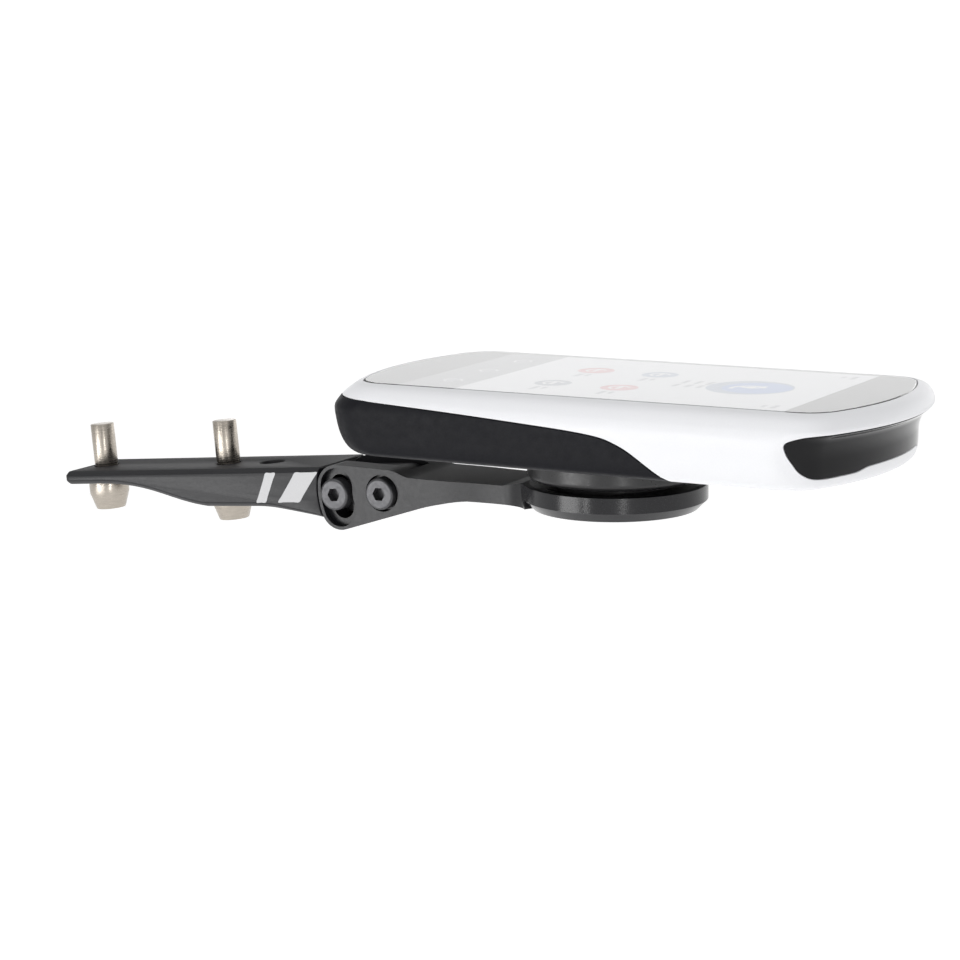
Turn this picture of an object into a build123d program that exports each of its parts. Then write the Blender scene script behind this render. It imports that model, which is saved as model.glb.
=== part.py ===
"""Cycling computer on an under-stem out-front mount, as separate sub-parts.

Row frame (mm): origin on the stem face of the base plate, midway between the two stem
screws; +X points forward, +Y to the rider's left, +Z up and square to the stem face.
The arm and the computer are drawn in their own level frame, whose origin is on the
quarter-turn axis at the computer's bottom plane, and are then pitched nose-down.
"""
from build123d import *
import math
import os

os.makedirs("parts", exist_ok=True)

# ---- driving dimensions, mm -------------------------------------------------
ARM_PITCH = 5.2              # nose-down pitch of the arm and computer, degrees
BOLT_SPACING = 32.0          # the two stem screws
SPARE_HOLE_X = 27.0
STEM_HOLE_R = 2.75
STEM_SCREW_R = 2.5           # M5
STEM_SCREW_REACH = 9.0       # thread standing above the stem face
STEM_NECK_R = 2.3            # thread relief where the screws pass through the plate
STEM_NECK_TOP = 0.4

MOUNT_HALF = 9.0             # half width of the base plate and of the arm's ears
TONGUE_HALF = 3.5
EAR_INNER = 3.65
BASE_REAR_X = -20.7
BASE_REAR_T = 2.8
BASE_MID_T = 7.8
BASE_FRONT_T = 10.8

PIVOT_X, PIVOT_Z = 58.6, -5.4            # in the row frame
LOCK_BACK = 10.64                        # the lock screw, behind the pivot
EAR_WRAP = 4.4                           # ear metal around the slot's centre line
PLATE_BEVEL = 0.8
BASE_END_R = 15.35
PIVOT_LX, PIVOT_LZ = -47.3, -11.05       # the same pivot in the computer's frame
M4_R = 2.0
HEAD_R = 3.2
HEAD_Y = 10.2                            # outer face of the screw heads
SEAT_Y = 7.4                             # floor of the counterbores
SEAT_HALF = 3.75                         # half width of the slot's counterbore
LOCK_ANGLE = 180.0 + ARM_PITCH           # where the lock screw stands, seen from the pivot
SLOT_UP, SLOT_DOWN = 8.0, 16.0           # slot ends, degrees either side of the lock screw

RING_R = 17.8
RING_BORE_R = 16.6
RING_TOP, RING_BOTTOM = -6.4, -11.2
RING_CHAMFER = 1.8
BEAM_TOP = -7.5
LIP_R = 12.9
LIP_T = 1.2

BODY_REAR, BODY_FRONT, BODY_HALF = -53.3, 60.7, 29.0
GLASS_TOP = 13.66
GLASS_T = 1.1
SEAL_T = 0.25
GLASS_REAR, GLASS_FRONT, GLASS_HALF = -47.6, 57.3, 24.3
REAR_CURVE, FRONT_CURVE = 0.009, 0.010   # end bow, mm per mm squared
WALL = 2.0

BOSS_R, BOSS_BOTTOM = 17.0, -5.4
BAYONET_R, TAB_R = 12.7, 15.2
TAB_TOP, TAB_BOTTOM = -7.95, -9.35
TAB_ANGLE = 56.0
GROOVE_R = 15.5
GROOVE_TOP, GROOVE_FLOOR = -7.75, -9.63
STOP_ANGLES = (135, 315)                 # solid stops between the swept parts of the groove
STOP_WIDTH = 26.0
INSERT_SCREW_R, INSERT_PITCH_R = 0.8, 14.4
BOSS_SCREW_R, BOSS_SCREW_PITCH = 0.9, 8.5

CAVITY_FLOOR, CAVITY_TOP = 1.6, 11.5
CASE_SCREW_R = 0.8
CASE_SCREW_XY = [(x, side * y) for x, y in ((-39.6, 22.6), (6.0, 24.0), (45.4, 21.6))
                 for side in (-1, 1)]
WINDOW_DEPTH = 1.2
VIEW_REAR, VIEW_FRONT, VIEW_HALF = -34.0, 44.0, 22.85    # opening over the display
LIGHT_SENSOR_XY = (50.0, 0.0)
VENT_XY = (24.0, -18.0)
CONTACT_XY = [(x, 21.5) for x in (-3.0, 0.5, 4.0, 7.5)]

KEY_Y, KEY_HALF_W = 12.5, 8.0            # the two rear keys
KEY_Z0, KEY_Z1 = 3.6, 9.4
KEY_BACK, STEM_END = -50.2, -43.4
KEY_FACE = 0.35                          # the keys stand this far proud of the rear end
POWER_X, POWER_Z, POWER_R = -18.0, 5.6, 3.5
FLAP_X0, FLAP_X1, FLAP_Y0, FLAP_Y1 = -42.5, -30.5, 9.6, 20.4
FLAP_T = 1.1

# height, then how far the side, the rear end and the front end stand in at that height
SECTIONS = (
    (0.0, 1.9, 4.4, 4.6),
    (0.9, 0.8, 3.0, 3.5),
    (2.6, 0.5, 1.6, 3.2),
    (5.5, 0.25, 0.5, 3.1),
    (8.8, 0.0, 0.0, 1.9),
    (10.7, 0.2, 1.2, 0.0),
    (12.3, 1.4, 3.0, 0.7),
    (13.3, 3.1, 4.6, 2.1),
    (GLASS_TOP, 4.7, 5.7, 3.4),
)

placed_origin_x = PIVOT_X - (
    PIVOT_LX * math.cos(math.radians(ARM_PITCH)) + PIVOT_LZ * math.sin(math.radians(ARM_PITCH)))
placed_origin_z = PIVOT_Z - (
    PIVOT_LZ * math.cos(math.radians(ARM_PITCH)) - PIVOT_LX * math.sin(math.radians(ARM_PITCH)))
TO_ROW = Location((placed_origin_x, 0, placed_origin_z), (0, ARM_PITCH, 0))


# ---- small helpers ----------------------------------------------------------
def write(name, shape, level=True):
    """Export a sub-part; level parts are drawn in the computer's frame."""
    placed = TO_ROW * shape if level else shape
    solids = placed.solids()
    export_step(solids[0] if len(solids) == 1 else Compound(children=solids), f"parts/{name}.step")


def block(x0, x1, y0, y1, z0, z1):
    """Box from its two corners."""
    centre = Pos((x0 + x1) / 2, (y0 + y1) / 2, (z0 + z1) / 2)
    return centre * Box(x1 - x0, y1 - y0, z1 - z0)


def post(x, y, z0, z1, radius):
    """Upright cylinder."""
    return Pos(x, y, (z0 + z1) / 2) * Cylinder(radius, z1 - z0)


def axle(x, z, y0, y1, radius):
    """Cylinder along Y."""
    return Pos(x, (y0 + y1) / 2, z) * Rot(90, 0, 0) * Cylinder(radius, y1 - y0)


def hex_hole(across, depth):
    """Hexagon prism, its mouth at z = 0 and its floor below."""
    return Pos(0, 0, -depth) * extrude(RegularPolygon(across / math.sqrt(3), 6), depth)


def side_profile(face_xz, y0, y1):
    """Extrude a face drawn in XZ between two Y planes."""
    return Pos(0, y1, 0) * extrude(Plane.XZ * face_xz, y1 - y0)


def rounded_plan(rear, front, half, radius, height, rear_curve=REAR_CURVE, front_curve=FRONT_CURVE):
    """Flat face with straight sides, bowed ends and rounded corners at one height."""
    rear_corner = rear + rear_curve * half * half
    front_corner = front - front_curve * half * half
    outline = [
        Line((rear_corner, -half), (front_corner, -half)),
        ThreePointArc((front_corner, -half), (front, 0), (front_corner, half)),
        Line((front_corner, half), (rear_corner, half)),
        ThreePointArc((rear_corner, half), (rear, 0), (rear_corner, -half)),
    ]
    face = make_face(outline)
    return Pos(0, 0, height) * fillet(face.vertices(), radius)


def plan_prism(rear, front, half, radius, z0, z1):
    """Straight-sided prism on the same plan."""
    return extrude(rounded_plan(rear, front, half, radius, z0), z1 - z0)


# ---- the mount: base plate and its screws -----------------------------------
def stem_screw(x, seat):
    """M5 screw with a tapered socket head under the plate."""
    thread = post(x, 0, STEM_NECK_TOP, STEM_SCREW_REACH, STEM_SCREW_R)
    neck = post(x, 0, seat - 0.1, STEM_NECK_TOP + 0.1, STEM_NECK_R)
    collar = post(x, 0, seat - 3.0, seat, 4.2)
    taper = Pos(x, 0, seat - 3.0 - 1.7) * Cone(3.08, 4.2, 3.4)
    socket = Pos(x, 0, seat - 6.4) * Rot(180, 0, 0) * hex_hole(3.0, 3.2)
    return thread + neck + collar + taper - socket


def base_plate():
    """Stem plate that deepens towards the hinge and ends in a tongue between the ears."""
    end_x = PIVOT_X - math.sqrt(BASE_END_R ** 2 - PIVOT_Z ** 2)
    profile = make_face([
        Polyline((end_x + 2, 0), (BASE_REAR_X, 0), (BASE_REAR_X, -BASE_REAR_T), (-11, -BASE_REAR_T)),
        Spline((-11, -BASE_REAR_T), (1.6, -4.4), (15.5, -BASE_MID_T),
               tangents=((1, 0), (1, -0.12))),
        Line((15.5, -BASE_MID_T), (28, -BASE_MID_T - 0.1)),
        Spline((28, -BASE_MID_T - 0.1), (36, -8.8), (end_x + 2, -BASE_FRONT_T),
               tangents=((1, 0), (1, -0.25))),
        Line((end_x + 2, -BASE_FRONT_T), (end_x + 2, 0)),
    ])
    plate = side_profile(profile, -MOUNT_HALF, MOUNT_HALF)
    rear_corners = plate.edges().filter_by(Axis.Z).group_by(Axis.X)[0]
    plate = fillet(rear_corners, 1.2)
    flanks = [edge for edge in plate.edges() if abs(abs(edge.center().Y) - MOUNT_HALF) < 0.01
              and abs(edge.tangent_at(0.5).Z) < 0.9 and edge.length > 3]
    plate = chamfer(flanks, PLATE_BEVEL)
    plate -= axle(PIVOT_X, PIVOT_Z, -MOUNT_HALF - 1, MOUNT_HALF + 1, BASE_END_R)
    plate -= block(end_x + 0.6, PIVOT_X, -MOUNT_HALF - 1, MOUNT_HALF + 1, -20, 5)
    tongue_face = make_face([
        Polyline((end_x - 3, -1.2), (PIVOT_X, -1.2)),
        ThreePointArc((PIVOT_X, -1.2), (PIVOT_X + 4.2, PIVOT_Z), (PIVOT_X, PIVOT_Z - 4.2)),
        Polyline((PIVOT_X, PIVOT_Z - 4.2), (PIVOT_X - 2.6, -BASE_FRONT_T),
                 (end_x - 3, -BASE_FRONT_T), (end_x - 3, -1.2)),
    ])
    plate += side_profile(tongue_face, -TONGUE_HALF, TONGUE_HALF)
    for x in (-BOLT_SPACING / 2, BOLT_SPACING / 2, SPARE_HOLE_X):
        plate -= post(x, 0, -20, 5, STEM_HOLE_R)
    plate -= post(BOLT_SPACING / 2, 0, -20, -5.3, 4.4)
    plate -= axle(PIVOT_X, PIVOT_Z, -5, 5, M4_R + 0.05)
    plate -= axle(PIVOT_X - LOCK_BACK, PIVOT_Z, -5, 5, M4_R + 0.02)
    return plate


def cross_screw(x, z, nut_face, level_half):
    """M4 socket screw along Y, its head on the rider's right, and its round sleeve nut."""
    shank = axle(x, z, -SEAT_Y - 0.5, level_half, M4_R)
    head = axle(x, z, -HEAD_Y, -SEAT_Y - 0.08, HEAD_R)
    head = fillet(head.edges().group_by(Axis.Y)[0], 0.5)
    socket = Pos(x, -HEAD_Y, z) * Rot(90, 0, 0) * hex_hole(2.5, 1.9)
    nut = axle(x, z, SEAT_Y + 0.08, nut_face, HEAD_R) - axle(x, z, 0, 20, M4_R + 0.02)
    nut = fillet(nut.edges().group_by(Axis.Y)[-1].sort_by(SortBy.LENGTH)[-1:], 0.5)
    return shank + head - socket, nut


# ---- the mount: arm and quarter-turn socket ---------------------------------
def pivot_polar(radius, degrees):
    """Point at an angle about the pivot, in the level frame's XZ."""
    turn = math.radians(degrees)
    return (PIVOT_LX + radius * math.cos(turn), PIVOT_LZ + radius * math.sin(turn))


def arc_slot(half_width, y0, y1):
    """Curved slot about the pivot that the lock screw slides in."""
    low, high = LOCK_ANGLE - SLOT_UP, LOCK_ANGLE + SLOT_DOWN
    middle = (low + high) / 2
    inner, outer = LOCK_BACK - half_width, LOCK_BACK + half_width
    band = make_face([
        ThreePointArc(pivot_polar(outer, low), pivot_polar(outer, middle), pivot_polar(outer, high)),
        Line(pivot_polar(outer, high), pivot_polar(inner, high)),
        ThreePointArc(pivot_polar(inner, high), pivot_polar(inner, middle), pivot_polar(inner, low)),
        Line(pivot_polar(inner, low), pivot_polar(outer, low)),
    ])
    slot = side_profile(band, y0, y1)
    for angle in (low, high):
        slot += axle(*pivot_polar(LOCK_BACK, angle), y0, y1, half_width)
    return slot


def around(centre, radius, degrees):
    """Point on a circle in XZ."""
    turn = math.radians(degrees)
    return (centre[0] + radius * math.cos(turn), centre[1] + radius * math.sin(turn))


def ear_block():
    """Hinge end of the arm in side view, still one solid across its width."""
    high, low = LOCK_ANGLE - SLOT_UP, LOCK_ANGLE + SLOT_DOWN
    upper, lower = pivot_polar(LOCK_BACK, high), pivot_polar(LOCK_BACK, low)
    belly = 288.1                                      # where the lower line leaves the wrap
    outer_r = LOCK_BACK + EAR_WRAP
    outline = make_face([
        ThreePointArc(around(lower, EAR_WRAP, belly), around(lower, EAR_WRAP, (belly + low) / 2),
                      pivot_polar(outer_r, low)),
        ThreePointArc(pivot_polar(outer_r, low), pivot_polar(outer_r, (low + high) / 2),
                      pivot_polar(outer_r, high)),
        ThreePointArc(pivot_polar(outer_r, high), around(upper, EAR_WRAP, (high + 90) / 2),
                      around(upper, EAR_WRAP, 90)),
        Line(around(upper, EAR_WRAP, 90), (-46.0, -6.25)),
        Spline((-46.0, -6.25), (-40.5, BEAM_TOP), tangents=((1, 0), (1, 0))),
        Polyline((-40.5, BEAM_TOP), (-27, BEAM_TOP), (-27, RING_BOTTOM + 0.05)),
        Spline((-27, RING_BOTTOM + 0.05), (-33.5, -12.1), (-38.5, -13.4),
               tangents=((-1, -0.02), (-1, -0.33))),
        Line((-38.5, -13.4), around(lower, EAR_WRAP, belly)),
    ])
    return side_profile(outline, -MOUNT_HALF, MOUNT_HALF)


def waist(rear, z0, z1):
    """Plan of the neck between two heights, from a rear X to inside the ring."""
    side = [(-36, -MOUNT_HALF), (-23, -8.2), (-14.2, -10.75)]
    outline = make_face([
        Line((rear, -MOUNT_HALF), side[0]),
        Spline(*side, tangents=((1, 0), (1, -1.45))),
        Line(side[-1], (-8, 0)),
        Line((-8, 0), (side[-1][0], -side[-1][1])),
        Spline(*[(x, -y) for x, y in reversed(side)], tangents=((-1, -1.45), (-1, 0))),
        Line((side[0][0], -side[0][1]), (rear, MOUNT_HALF)),
        Line((rear, MOUNT_HALF), (rear, -MOUNT_HALF)),
    ])
    return extrude(Pos(0, 0, z0) * outline, z1 - z0)


def neck_and_ring():
    """Flat plate of the ring and the waisted neck that leads to the ears."""
    neck = waist(-36.5, RING_BOTTOM, RING_TOP)
    ring = post(0, 0, RING_BOTTOM, RING_TOP, RING_R)
    ring = chamfer(ring.edges().group_by(Axis.Z)[0], RING_CHAMFER)
    plate = neck + ring
    ramp = make_face(Polyline((-40, RING_TOP + 1), (-15.5, RING_TOP + 1), (-15.5, RING_TOP),
                              (-20.5, BEAM_TOP), (-40, BEAM_TOP), close=True))
    return plate - side_profile(ramp, -12, 12)


def arm():
    """Hinge ears, neck and ring in one machined piece."""
    body = neck_and_ring() + (ear_block() & waist(-70, -30, 0))
    body -= axle(PIVOT_LX, PIVOT_LZ, -EAR_INNER, EAR_INNER, 5.4)
    body -= block(-70, PIVOT_LX, -EAR_INNER, EAR_INNER, -25, 0)
    body -= block(-70, PIVOT_LX + 3.7, -EAR_INNER, EAR_INNER, PIVOT_LZ, 0)
    for side in (-1, 1):
        outer = sorted((side * SEAT_Y, side * (MOUNT_HALF + 2)))
        through = sorted((side * (EAR_INNER - 1), side * (SEAT_Y + 1)))
        body -= arc_slot(SEAT_HALF, *outer)
        body -= arc_slot(M4_R + 0.3, *through)
        body -= axle(PIVOT_LX, PIVOT_LZ, *outer, 3.7)
        body -= axle(PIVOT_LX, PIVOT_LZ, *through, M4_R + 0.02)
    body -= post(0, 0, RING_BOTTOM + LIP_T, 0, RING_BORE_R)
    body -= post(0, 0, RING_BOTTOM - 1, 0, LIP_R)
    for angle in STOP_ANGLES:
        body -= Rot(0, 0, angle) * post(INSERT_PITCH_R, 0, RING_BOTTOM - 1, 0, INSERT_SCREW_R + 0.1)
        body -= Rot(0, 0, angle) * post(INSERT_PITCH_R, 0, RING_BOTTOM - 1, -10.6, 1.3)
    return body


def tab_sector(radius, width, centre, z0, z1):
    """Pie slice of the bayonet about the twist axis."""
    half = math.radians(width / 2)
    reach = radius * 1.6
    wedge = make_face(Polyline((0, 0), (reach * math.cos(half), -reach * math.sin(half)),
                               (reach * math.cos(half), reach * math.sin(half)), close=True))
    slice_face = (Rot(0, 0, centre) * wedge) & Circle(radius)
    return extrude(Pos(0, 0, z0) * slice_face, z1 - z0)


def ring_insert():
    """Polymer quarter-turn socket: an entry flange over a groove with two end stops."""
    floor = RING_BOTTOM + LIP_T + 0.02
    insert = post(0, 0, floor, RING_TOP, RING_BORE_R - 0.03)
    insert += post(0, 0, RING_BOTTOM + 0.05, floor, LIP_R - 0.05)
    groove = post(0, 0, GROOVE_FLOOR, GROOVE_TOP, GROOVE_R)
    for angle in STOP_ANGLES:
        groove -= tab_sector(GROOVE_R + 1, STOP_WIDTH, angle, -12, 0)
    insert -= groove
    insert -= post(0, 0, GROOVE_FLOOR, 0, BAYONET_R + 0.25)
    insert -= post(0, 0, -20, 0, 6.0)
    for angle in (90, 270):
        insert -= tab_sector(GROOVE_R, TAB_ANGLE + 8, angle, -9.0, 0)
    for angle in STOP_ANGLES:
        insert -= Rot(0, 0, angle) * post(INSERT_PITCH_R, 0, -20, -6.9, INSERT_SCREW_R + 0.02)
    return insert


def insert_screws():
    """Two small screws up through the ring's lip into the socket's stops."""
    screws = []
    for angle in STOP_ANGLES:
        stem = post(INSERT_PITCH_R, 0, -10.7, -7.0, INSERT_SCREW_R)
        head = post(INSERT_PITCH_R, 0, RING_BOTTOM + 0.05, -10.62, 1.2)
        socket = Pos(INSERT_PITCH_R, 0, RING_BOTTOM + 0.05) * Rot(180, 0, 0) * hex_hole(1.0, 0.35)
        screws.append(Rot(0, 0, angle) * (stem + head - socket))
    return screws


# ---- the computer's case ----------------------------------------------------
def section(level, grow=0.0):
    """Outline of the case at one of the heights in SECTIONS."""
    height, side, rear, front = SECTIONS[level]
    return rounded_plan(BODY_REAR + rear - grow, BODY_FRONT - front + grow,
                        BODY_HALF - side + grow, 9.0 - 0.5 * side, height)


def case_envelope():
    """Outer form of the whole case."""
    return loft([section(level) for level in range(len(SECTIONS))], ruled=True)


def below_parting():
    """Everything under the line where the light shell meets the dark case."""
    sweep_down = Spline((6.5, 7.9), (15.2, 5.8), (25.5, -0.6), tangents=((1, -0.1), (1, -0.75)))
    face = make_face([
        Polyline((-60, -10), (-60, 11.2), (-50, 11.2), (-30, 10.2), (-5, 8.8), (6.5, 7.9)),
        sweep_down,
        Polyline((25.5, -0.6), (25.5, -10), (-60, -10)),
    ])
    return side_profile(face, -40, 40)


def cavity():
    """Room inside the case for the electronics."""
    return plan_prism(-46.0, 52.5, 26.2, 7.0, CAVITY_FLOOR, CAVITY_TOP)


def pillars():
    """Screw pillars that tie the two halves together."""
    return [post(x, y, CAVITY_FLOOR, CAVITY_TOP, 2.0) for x, y in CASE_SCREW_XY]


def window_blank(margin):
    """Volume of the front window, optionally a little larger for its recess."""
    face = make_face([
        Polyline((-28.9 - margin, 8.4), (-27.5, 9.6 + margin), (27.5, 9.6 + margin), (28.9 + margin, 8.4)),
        Spline((28.9 + margin, 8.4), (24.5, 2.3 - margin), (14.5, 2.6 - margin),
               tangents=((-0.2, -1), (-1, 0.3))),
        Line((14.5, 2.6 - margin), (-14.5, 2.6 - margin)),
        Spline((-14.5, 2.6 - margin), (-24.5, 2.3 - margin), (-28.9 - margin, 8.4),
               tangents=((-1, -0.3), (-0.2, 1))),
    ])
    front_zone = Pos(46.5 - margin, 0, 0) * extrude(Plane.YZ * face, 20)
    return front_zone


def inner_form(inset):
    """Case envelope drawn in by one thickness, for skins that follow it."""
    return loft([section(level, -inset) for level in range(len(SECTIONS))], ruled=True)


def front_window(envelope):
    """Gloss strip set into the nose."""
    skin = envelope - inner_form(WINDOW_DEPTH)
    return (skin & window_blank(0)).solids().sort_by(SortBy.VOLUME)[-1]


def front_floor():
    """Dark floor under the nose, inside the light shell's lower edge."""
    return plan_prism(10, 53.6, 25.6, 6.0, 0.0, CAVITY_FLOOR)


def glass_plan(margin, z0, z1):
    """Prism on the cover glass's outline."""
    return plan_prism(GLASS_REAR - margin, GLASS_FRONT + margin, GLASS_HALF + margin,
                      7.0, z0, z1)


def upper_shell(envelope, lower_zone, seal):
    """Light upper shell with the glass seat, the display opening and the nose recess."""
    shell = envelope - lower_zone - cavity() - front_floor()
    for pillar in pillars():
        shell += pillar - lower_zone
    shell -= seal
    shell -= glass_plan(0.05, GLASS_TOP - GLASS_T - SEAL_T, 20)
    shell -= block(VIEW_REAR, VIEW_FRONT, -VIEW_HALF, VIEW_HALF, 9, 14)
    shell -= (envelope - inner_form(WINDOW_DEPTH + 0.05)) & window_blank(0.05)
    for x, y in CASE_SCREW_XY:
        shell -= post(x, y, -1, 10.9, CASE_SCREW_R + 0.02)
    shell -= post(*LIGHT_SENSOR_XY, 9, 14, 1.6)
    return shell.solids().sort_by(SortBy.VOLUME)[-1]


def key_zone(y, grow):
    """Blank of one rear key: its cap and the stem that reaches its switch."""
    cap = block(-60, KEY_BACK + 4 * grow, y - KEY_HALF_W - grow, y + KEY_HALF_W + grow,
                KEY_Z0 - grow, KEY_Z1 + grow)
    return cap + block(-51, STEM_END + 4 * grow, y - 1.2 - grow, y + 1.2 + grow,
                       5.2 - grow, 6.6 + grow)


def lower_case(envelope, lower_zone, seal):
    """Dark lower case with the key windows, port bay and screw holes."""
    case = (envelope & lower_zone) + front_floor()
    case -= cavity()
    for pillar in pillars():
        case += pillar & lower_zone
    case -= seal
    for y in (-KEY_Y, KEY_Y):
        case -= key_zone(y, 0.2)
    case -= axle(POWER_X, POWER_Z, 24, 32, POWER_R + 0.2)
    case -= block(FLAP_X0 - 0.3, FLAP_X1 + 0.3, FLAP_Y0 - 0.3, FLAP_Y1 + 0.3, -1, FLAP_T + 0.25)
    case -= block(-39.9, -36.9, 10.6, 19.2, -1, 3)
    for x, y in CASE_SCREW_XY:
        case -= post(x, y, -1, 12, CASE_SCREW_R + 0.02)
        case -= post(x, y, -1, 1.0, 1.6)
    for x, y in boss_screw_points():
        case -= post(x, y, -1, 3, BOSS_SCREW_R + 0.02)
    case -= post(*VENT_XY, -1, 3, 0.8)
    for x, y in CONTACT_XY:
        case -= post(x, y, -1, 3, 1.05)
    return case.solids().sort_by(SortBy.VOLUME)[-1]


def case_screws():
    """Six small screws up through the pillars."""
    screws = []
    for x, y in CASE_SCREW_XY:
        screw = post(x, y, 0.5, 10.6, CASE_SCREW_R) + post(x, y, 0.15, 0.95, 1.45)
        screws.append(screw - Pos(x, y, 0.15) * Rot(180, 0, 0) * hex_hole(1.3, 0.5))
    return screws


def boss_screw_points():
    """Four screws on a circle inside the bayonet."""
    angles = [math.radians(45 + 90 * k) for k in range(4)]
    return [(BOSS_SCREW_PITCH * math.cos(a), BOSS_SCREW_PITCH * math.sin(a)) for a in angles]


def mount_boss():
    """Round foot with the male quarter-turn tabs."""
    disc = post(0, 0, BOSS_BOTTOM, -0.02, BOSS_R)
    disc = fillet(disc.edges().group_by(Axis.Z)[0], 1.2)
    disc += post(0, 0, TAB_BOTTOM, BOSS_BOTTOM + 0.1, BAYONET_R)
    for angle in (0, 180):
        disc += tab_sector(TAB_R, TAB_ANGLE, angle, TAB_BOTTOM, TAB_TOP)
    disc -= post(0, 0, TAB_BOTTOM - 1, -7.2, 5.5)
    for x, y in boss_screw_points():
        disc -= post(x, y, -12, 1, BOSS_SCREW_R + 0.1)
        disc -= post(x, y, -12, -7.4, 1.75)
    return disc


def boss_screws():
    """Screws that hold the foot to the lower case."""
    screws = []
    for x, y in boss_screw_points():
        screw = post(x, y, -7.6, 1.5, BOSS_SCREW_R) + post(x, y, -8.5, -7.42, 1.65)
        screws.append(screw - Pos(x, y, -8.5) * Rot(180, 0, 0) * hex_hole(1.5, 0.6))
    return screws


# ---- keys and port cover ----------------------------------------------------

def rear_key(envelope, y):
    """Rubber key that fills its window in the rear end, with a stem to its switch."""
    proud = Pos(-KEY_FACE, 0, 0) * envelope
    return key_zone(y, 0) & proud


def power_button():
    """Small round key on the rider's left."""
    key = axle(POWER_X, POWER_Z, 26.9, BODY_HALF + KEY_FACE, POWER_R)
    key = fillet(key.edges().group_by(Axis.Y)[-1], 0.4)
    return key + axle(POWER_X, POWER_Z, 24.2, 27.0, 1.0)


def usb_cover():
    """Rubber flap under the port bay, hinged along its front edge."""
    radius = FLAP_T / 2
    flap = block(FLAP_X0, FLAP_X1 - radius, FLAP_Y0, FLAP_Y1, 0.02, FLAP_T)
    flap += axle(FLAP_X1 - radius, radius + 0.01, FLAP_Y0, FLAP_Y1, radius - 0.01)
    plug = block(-39.4, -37.4, 11.2, 18.6, FLAP_T - 0.05, 2.1)
    return flap + plug


# ---- display stack and electronics ------------------------------------------
def layer(x0, x1, half, radius, z0, z1):
    """Flat rounded sheet centred on Y."""
    sheet = block(x0, x1, -half, half, z0, z1)
    return fillet(sheet.edges().filter_by(Axis.Z), radius)


def clear_pillars(shape, gap=0.3):
    """Cut a sheet back from the screw pillars."""
    for x, y in CASE_SCREW_XY:
        shape -= post(x, y, -2, 15, 2.0 + gap)
    return shape


def electronics():
    """Every inner piece that stays still inside the case."""
    glass = glass_plan(0, GLASS_TOP - GLASS_T, GLASS_TOP)
    pieces = {
        "cover_glass": chamfer(glass.faces().sort_by(Axis.Z)[-1].edges(), 0.3),
        "display_seal": (glass_plan(-0.4, GLASS_TOP - GLASS_T - SEAL_T, GLASS_TOP - GLASS_T)
                         - block(VIEW_REAR - 0.5, VIEW_FRONT + 0.5, -23.3, 23.3, 12, 13)
                         - post(*LIGHT_SENSOR_XY, 12, 13, 1.6)),
        "touch_sensor": layer(-33.8, 43.8, 22.6, 0.6, 12.15, 12.5),
        "display_panel": layer(-33.6, 43.6, 22.4, 0.6, 10.9, 12.1),
        "backlight": layer(-33.0, 43.0, 21.8, 0.6, 10.1, 10.85),
        "display_frame": clear_pillars(plan_prism(-45.0, 51.5, 25.6, 6.4, 9.0, 10.0)),
        "main_board": clear_pillars(plan_prism(-44.5, 51.0, 25.2, 6.0, 6.9, 7.9)),
        "battery": layer(-14.0, 44.0, 20.0, 1.0, 1.9, 5.9),
        "light_sensor": post(*LIGHT_SENSOR_XY, 11.0, 12.4, 1.3),
        "gnss_antenna": block(-41.0, -30.0, -6.0, 5.0, 2.4, 6.6),
        "wireless_antenna": block(45.2, 48.6, -15.0, 15.0, 4.9, 6.6),
        "beeper": post(-24.0, -16.0, 3.8, 6.7, 5.0),
        "pressure_sensor": block(25.5, 29.0, -24.5, -21.2, 5.5, 6.7),
        "usb_socket": block(-40.1, -36.7, 10.4, 19.4, 2.6, 6.7),
        "card_socket": block(-35.5, -23.5, 8.0, 22.0, 5.4, 6.7),
        "memory_card": block(-35.0, -24.2, 9.5, 20.5, 4.5, 5.3),
        "display_flex": block(-41.5, -38.5, -9.0, 9.0, 8.0, 8.9),
        "battery_lead": block(-20.0, -14.1, 4.0, 9.0, 4.2, 6.8),
        "vent_membrane": post(*VENT_XY, 1.62, 1.85, 2.2),
    }
    return pieces


def shield_cans():
    """Two pressed lids over the processor and the radio."""
    return [block(-20, 8, -14, 14, 8.0, 8.8) - block(-19.6, 7.6, -13.6, 13.6, 7.9, 8.6),
            block(14, 34, -11, 11, 8.0, 8.8) - block(14.4, 33.6, -10.6, 10.6, 7.9, 8.6)]


def board_chips():
    """Packages on the underside of the main board and under the shields."""
    return [block(-14, -4, -5, 5, 7.95, 8.5), block(-2, 5, -4, 4, 7.95, 8.4),
            block(18, 25, -3.5, 3.5, 7.95, 8.45), block(-22, -16.5, -2.5, 2.5, 6.1, 6.85),
            block(37, 42, 16, 21, 6.1, 6.85)]


def switches():
    """Tact switches behind the two rear keys and the side key."""
    rear = [block(-42.7, -41.2, y - 2.2, y + 2.2, 4.4, 6.85) for y in (-KEY_Y, KEY_Y)]
    return rear + [block(POWER_X - 2.2, POWER_X + 2.2, 21.9, 23.5, 4.6, 6.85)]


def gasket(lower_zone):
    """Seal let into the walls of both shells, following the line where they meet."""
    loop = plan_prism(-46.9, 53.4, 27.1, 7.6, 0.6, 13) - plan_prism(-46.2, 52.7, 26.4, 7.0, 0, 14)
    band = Pos(0, 0, 0.3) * lower_zone - Pos(0, 0, -0.3) * lower_zone
    return (loop & band & block(-60, 22, -30, 30, 1.2, 13)).solids().sort_by(SortBy.VOLUME)[-1]


def contacts():
    """Four gold contact pads let into the underside."""
    return [post(x, y, 0.1, 1.9, 1.0) for x, y in CONTACT_XY]


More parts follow.
